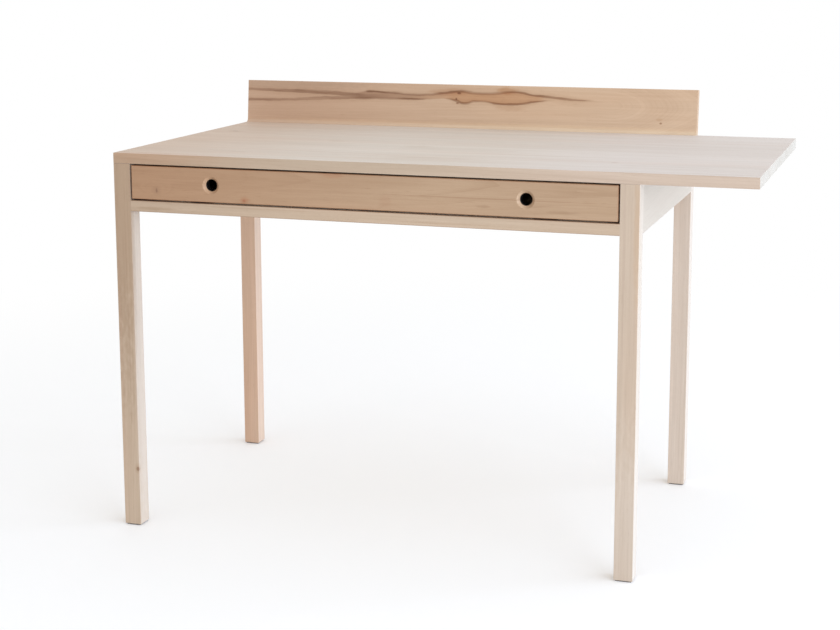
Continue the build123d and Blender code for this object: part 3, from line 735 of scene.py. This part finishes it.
def make_floor():
    """A pale floor that keeps the desk's shadow and turns white further off."""
    shape = bmesh.new()
    bmesh.ops.create_circle(shape, cap_ends=True, segments=64, radius=FLOOR_RADIUS)
    mesh = bpy.data.meshes.new("floor")
    shape.to_mesh(mesh)
    shape.free()
    floor = bpy.data.objects.new("floor", mesh)
    bpy.context.scene.collection.objects.link(floor)
    graph = Graph("floor")
    place = graph.node("TexCoord").outputs["Object"]
    far = graph.step(graph.length(place), *FLOOR_FADE)
    path = graph.node("LightPath")
    seen = graph.math("MAXIMUM", path.outputs["Is Camera Ray"], path.outputs["Is Glossy Ray"])
    matt = graph.node("BsdfDiffuse", {"Color": FLOOR_COLOUR})
    lift = graph.node("Emission", {"Strength": graph.math("MULTIPLY", seen, FLOOR_LIFT)})
    near = graph.node("AddShader", {0: matt.outputs[0], 1: lift.outputs[0]})
    white = graph.node("Emission", {"Strength": 1.0})
    share = graph.math("MULTIPLY", seen, far)
    mesh.materials.append(
        graph.surface(graph.node("MixShader", {0: share, 1: near.outputs[0], 2: white.outputs[0]}))
    )


def make_plain_wood(name):
    """A plain board with the washes and marks that are listed under its name, if any."""
    graph = Graph(name)
    grain = Grain(graph)
    growth = grain.growth()
    return wood_shader(graph, grain, board_colour(graph, grain, growth, name), growth)


def make_front_rail():
    """Plain board, with painted shade: brown on its upper face and arrises, in the gap under the drawer."""
    graph = Graph("front_rail")
    grain = Grain(graph)
    growth = grain.growth()
    base = board_colour(graph, grain, growth, "front_rail")
    # painted shade of the gap under the drawer, on the upper face and arrises
    upward = graph.step(grain.normal[Z], *EDGE_FACING)
    gap_shade = graph.math("MAXIMUM", upward, grain.edge(RIM_WIDTH))
    return wood_shader(graph, grain, graph.tint(base, gap_shade, PAINTED_GAP_SHADE_TINT), growth)


def make_backboard():
    """Flat-sawn board with a mineral streak along it and cathedral arcs towards its right end."""
    graph = Graph("backboard")
    grain = Grain(graph)
    x, z = grain.place[X], grain.place[Z]
    arch = graph.math("MULTIPLY", graph.step(x, *ARCH_REACH), ARCH_SHIFT)
    growth = grain.growth(arch, *grain.knots("backboard"))
    base = board_colour(graph, grain, growth, "backboard")

    share = graph.math("DIVIDE", graph.math("SUBTRACT", x, BOARD_LEFT / 1000), BOARD_LENGTH / 1000)
    wobble = graph.math("MULTIPLY", grain.layer("wobble"), WOBBLE)
    height = graph.total(z, wobble, graph.math("MULTIPLY", grain.deep, STREAK_DIP))
    broken = graph.math("MULTIPLY_ADD", grain.layer("broken"), *BREAKS)

    def along_board(points, scale, start=0.0):
        spots = [((at - BOARD_LEFT) / BOARD_LENGTH, (value - start) / scale) for at, value in points]
        return graph.curve(share, spots)

    offsets = {}
    darkest = 0.0
    halo = 0.0
    for name, line in STREAK_LINES.items():
        path = along_board(line["path"], RISE_SCALE, BOARD_FOOT)
        middle = graph.math("MULTIPLY_ADD", path, RISE_SCALE / 1000, BOARD_FOOT / 1000)
        width = graph.math("MULTIPLY", along_board(line["width"], WIDTH_SCALE), WIDTH_SCALE / 1000)
        darkness = along_board(line["darkness"], 1)
        offsets[name] = graph.math("SUBTRACT", height, middle)
        reach = graph.math("DIVIDE", graph.math("ABSOLUTE", offsets[name]), width)
        dark = graph.product(graph.step(reach, *LINE_FADE), darkness, broken)
        darkest = graph.math("MAXIMUM", darkest, dark)
        around = graph.math("MULTIPLY", graph.step(reach, *HALO_FADE), darkness)
        halo = graph.math("MAXIMUM", halo, around)

    start, end = FILL_SOFT
    inside = graph.product(
        graph.step(offsets["upper"], start, end),
        graph.step(offsets["lower"], -start, -end),
        along_board(STREAK_FILL, 1),
    )
    brown = graph.tint(base, inside, STREAK_BROWN_TINT)
    orange = graph.tint(base, inside, STREAK_ORANGE_TINT)
    base = graph.blend(graph.step(x, *ORANGE_FROM), brown, orange)
    base = graph.tint(base, graph.math("MULTIPLY", halo, HALO_SHARE), STREAK_HALO_TINT)
    base = graph.tint(base, darkest, STREAK_LINE_TINT)
    return wood_shader(graph, grain, base, growth)


def make_drawer_front():
    """Warm flat-sawn board with a rim of painted shade; finger holes: painted light on a bevel, black bore.
    """
    graph = Graph("drawer_front")
    grain = Grain(graph)
    x, z = grain.place[X], grain.place[Z]
    growth = grain.growth(*grain.knots("drawer_front"))
    base = board_colour(graph, grain, growth, "drawer_front")
    # painted shade: a brown rim, where the gaps round the drawer are in shade
    base = graph.tint(base, grain.edge(RIM_WIDTH), PAINTED_RIM_SHADE_TINT)
    # painted light: the side of each bevel that faces the window made paler
    windowward = graph.step(grain.normal[X], *BEVEL_FACING)
    for hole in FINGER_HOLES:
        beside = graph.math("SUBTRACT", x, hole)
        above = graph.math("SUBTRACT", z, FINGER_Z)
        reach = graph.length(graph.vector(beside, above, 0.0))
        bevel = graph.step(reach, BEVEL_RADIUS, BEVEL_RADIUS - SOFT_EDGE)
        base = graph.tint(base, graph.math("MULTIPLY", bevel, windowward), PAINTED_BEVEL_LIGHT_TINT)
        inside = graph.step(reach, BORE_RADIUS + SOFT_EDGE, BORE_RADIUS + SOFT_EDGE / 3)
        base = graph.blend(inside, base, BORE_COLOUR)
    return wood_shader(graph, grain, base, growth)


def make_top():
    """Five boards glued edge to edge, each from a part of the log of its own."""
    graph = Graph("top_panel")
    low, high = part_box("top_panel")
    grain = Grain(graph)
    x, y = grain.place[X], grain.place[Y]
    edges = (low.y, *TOP_SEAMS, high.y)
    middles = [(near + far) / 2 for near, far in zip(edges, edges[1:])]
    middle = middles[0]
    board = 0.0
    seam = 0.0
    for place, before, after in zip(TOP_SEAMS, middles, middles[1:]):
        past = graph.math("GREATER_THAN", y, place)
        middle = graph.math("MULTIPLY_ADD", past, after - before, middle)
        board = graph.math("ADD", board, past)
        distance = graph.math("ABSOLUTE", graph.math("SUBTRACT", y, place))
        seam = graph.math("MAXIMUM", seam, graph.step(distance, SEAM_WIDTH, SEAM_CORE))
    flipped = graph.math("MULTIPLY_ADD", graph.math("MODULO", board, 2.0), -2.0, 1.0)
    grain.wide = graph.math("SUBTRACT", y, middle)
    grain.deep = graph.math("MULTIPLY", grain.deep, flipped)
    grain.along = graph.math("MULTIPLY_ADD", board, BOARD_APART, grain.along)
    growth = grain.growth()
    base = board_colour(graph, grain, growth, "top_panel")
    tone = graph.node("TexWhiteNoise", {"W": board}, noise_dimensions="1D").outputs[0]
    base = graph.tint(base, graph.math("MULTIPLY", tone, TONE_SHARE), TONE_TINT)
    base = graph.tint(base, graph.math("MULTIPLY", seam, SEAM_SHARE), SEAM_TINT)
    # painted light on the end that faces the window
    base = graph.tint(base, graph.step(grain.normal[X], *EDGE_FACING), PAINTED_WINDOW_END_TINT)
    # painted shade on the front edge, darker still to the left
    front = graph.step(graph.math("MULTIPLY", grain.normal[Y], -1.0), *EDGE_FACING)
    base = graph.tint(base, front, PAINTED_SHADE_FRONT_EDGE_TINT)
    left = graph.math("MULTIPLY", front, graph.step(x, *FRONT_EDGE_LEFT))
    base = graph.tint(base, left, PAINTED_SHADE_FRONT_LEFT_TINT)
    return wood_shader(graph, grain, base, growth)


def make_plywood():
    """Birch plywood: clear faces, and on its edges plies whose grain runs by turns along and across."""
    graph = Graph("plywood")
    grain = Grain(graph)
    growth = grain.growth()
    base = board_colour(graph, grain, growth, "plywood")
    edge = graph.step(graph.math("ABSOLUTE", grain.normal[Z]), *PLY_FACING)
    turn = graph.math("PINGPONG", graph.math("ADD", grain.deep, PLY_THICKNESS / 2), PLY_THICKNESS)
    across = graph.step(turn, *(share * PLY_THICKNESS for share in PLY_TURN))
    base = graph.tint(base, graph.math("MULTIPLY", edge, across), PLY_TINT)
    return wood_shader(graph, grain, base, growth)


def make_zinc():
    """Zinc plate, clouded and a little uneven."""
    graph = Graph("zinc")
    place = graph.node("TexCoord").outputs["Object"]
    cloud = graph.noise(place, detail=3.0, scale=900.0)
    grit = graph.noise(place, scale=5000.0)
    share = graph.math("MULTIPLY_ADD", cloud, 0.25, 0.5)
    base = graph.blend(share, colour(178, 179, 176), colour(148, 148, 145))
    roughness = graph.math("MULTIPLY_ADD", cloud, 0.06, 0.34)
    bump = graph.node("Bump", {"Strength": 0.4, "Distance": 0.00002, "Height": grit})
    inputs = {"Base Color": base, "Metallic": 1.0, "Roughness": roughness, "Normal": bump.outputs[0]}
    return graph.surface(graph.node("BsdfPrincipled", inputs))


def make_felt():
    """Pressed wool: tufts in two darknesses, with fine fibres standing from them."""
    graph = Graph("felt")
    place = graph.node("TexCoord").outputs["Object"]
    tufts = graph.noise(place, detail=4.0, roughness=0.7, scale=700.0)
    fibres = graph.noise(place, detail=3.0, scale=2600.0)
    height = graph.total(fibres, tufts)
    share = graph.math("MULTIPLY_ADD", tufts, 0.3, 0.5)
    base = graph.blend(share, colour(58, 51, 45), colour(36, 32, 28))
    roughness = graph.math("MULTIPLY_ADD", fibres, 0.03, 0.93)
    bump = graph.node("Bump", {"Strength": 0.8, "Distance": 0.0004, "Height": height})
    inputs = {
        "Base Color": base,
        "Roughness": roughness,
        "Sheen Weight": 0.6,
        "Sheen Roughness": 0.5,
        "Normal": bump.outputs[0],
    }
    return graph.surface(graph.node("BsdfPrincipled", inputs))


def solids_of(node):
    """The lowest and the highest corner of each separate solid in a CAD node."""
    shape = bmesh.new()
    shape.from_mesh(node.data)
    bmesh.ops.remove_doubles(shape, verts=shape.verts, dist=WELD)
    seen = set()
    corners = []
    for first in shape.verts:
        if first in seen:
            continue
        seen.add(first)
        group = [first]
        for vertex in group:
            for edge in vertex.link_edges:
                other = edge.other_vert(vertex)
                if other not in seen:
                    seen.add(other)
                    group.append(other)
        places = [vertex.co for vertex in group]
        corners.append([
            Vector(pick(place[way] for place in places) for way in (X, Y, Z)) for pick in (min, max)
        ])
    shape.free()
    return corners


def cross(angle):
    """Reach of a driver recess at an angle, as a share of the head's radius."""
    along, beside = sorted((abs(math.cos(angle)), abs(math.sin(angle))), reverse=True)
    return min(RECESS_REACH / along, RECESS_WIDTH / beside if beside > 0 else math.inf)


def screw_rings(low, high, screw):
    """Rings of a screw from the bottom of its recess to its point, as (height, radius at each angle)."""
    head = (high.x - low.x) / 2
    shank = screw.shank / 2
    seat = low.z + screw.head
    for depth, share in ((RECESS_DEPTH, RECESS_TAPER), (RECESS_MOUTH, 1.0)):
        yield low.z + depth * screw.head, [head * share * cross(turn) for turn in SCREW_TURNS]
    for depth, share in HEAD_PROFILE:
        yield low.z + depth * screw.head, [head * share] * SCREW_SIDES
    yield seat, [shank] * SCREW_SIDES
    yield high.z - SCREW_POINT * screw.shank, [shank] * SCREW_SIDES


def make_screws(node_name, body, screw, material):
    """Pan-head screws with a cross recess and a point, in place of a node's plain ones."""
    shape = bmesh.new()
    for low, high in solids_of(frame["nodes"][node_name]):
        middle = (low + high) / 2
        last = None
        for height, radii in screw_rings(low, high, screw):
            ring = []
            for turn, radius in zip(SCREW_TURNS, radii):
                spot = (middle.x + radius * math.cos(turn), middle.y + radius * math.sin(turn), height)
                ring.append(shape.verts.new(spot))
            if last:
                for number in range(SCREW_SIDES):
                    shape.faces.new((last[number - 1], last[number], ring[number], ring[number - 1]))
            else:
                shape.faces.new(ring)
            last = ring
        point = shape.verts.new((middle.x, middle.y, high.z))
        for number in range(SCREW_SIDES):
            shape.faces.new((last[number - 1], last[number], point))
    bmesh.ops.recalc_face_normals(shape, faces=shape.faces)
    name = node_name.removesuffix("s") + "_set"
    mesh = bpy.data.meshes.new(name)
    shape.to_mesh(mesh)
    shape.free()
    mesh.shade_smooth()
    mesh.set_sharp_from_angle(angle=SMOOTH_ANGLE)
    mesh.materials.append(material)
    piece = bpy.data.objects.new(name, mesh)
    bpy.context.scene.collection.objects.link(piece)
    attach(piece, body)
    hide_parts(node_name)


make_camera()
make_world()
for name, (place, size, power) in LAMPS.items():
    make_light(name, place, size, power)
make_floor()
bpy.context.scene.view_settings.view_transform = "Standard"

slots = {part["node"]: part["material_slot"] for part in frame["record"]["subparts"]}
own_finish = {
    "backboard": make_backboard(),
    "drawer_front": make_drawer_front(),
    "top_panel": make_top(),
    "front_rail": make_front_rail(),
    "front_left_leg": make_plain_wood("front_left_leg"),
    "front_right_leg": make_plain_wood("front_right_leg"),
}
shared_finish = {"birch_ply": make_plywood(), "zinc_steel": make_zinc(), "felt": make_felt()}
clear_wood = make_plain_wood("clear_wood")      # has no marks, and is copied for every other board
for number, (name, node) in enumerate(sorted(frame["nodes"].items())):
    slot = slots[name]
    material = own_finish.get(name) or shared_finish.get(slot, clear_wood)
    if slot in WOODS:
        if name not in own_finish:
            material = material.copy()
        material.name = name
        wood = OWN_WOODS.get(name, WOODS[slot])
        cut = CUTS.get(name, RIFT if name.endswith("leg") else FLAT)
        along = Y if name == "tabletop_buttons" else None
        lean = BOARD_LEAN if name == "backboard" else 0.0
        fit_to_piece(material, name, wood, cut, number, along, lean)
    node.data.materials.clear()
    node.data.materials.append(material)
for name, screw in SCREWS.items():
    make_screws(name, screw.body, screw, shared_finish["zinc_steel"])
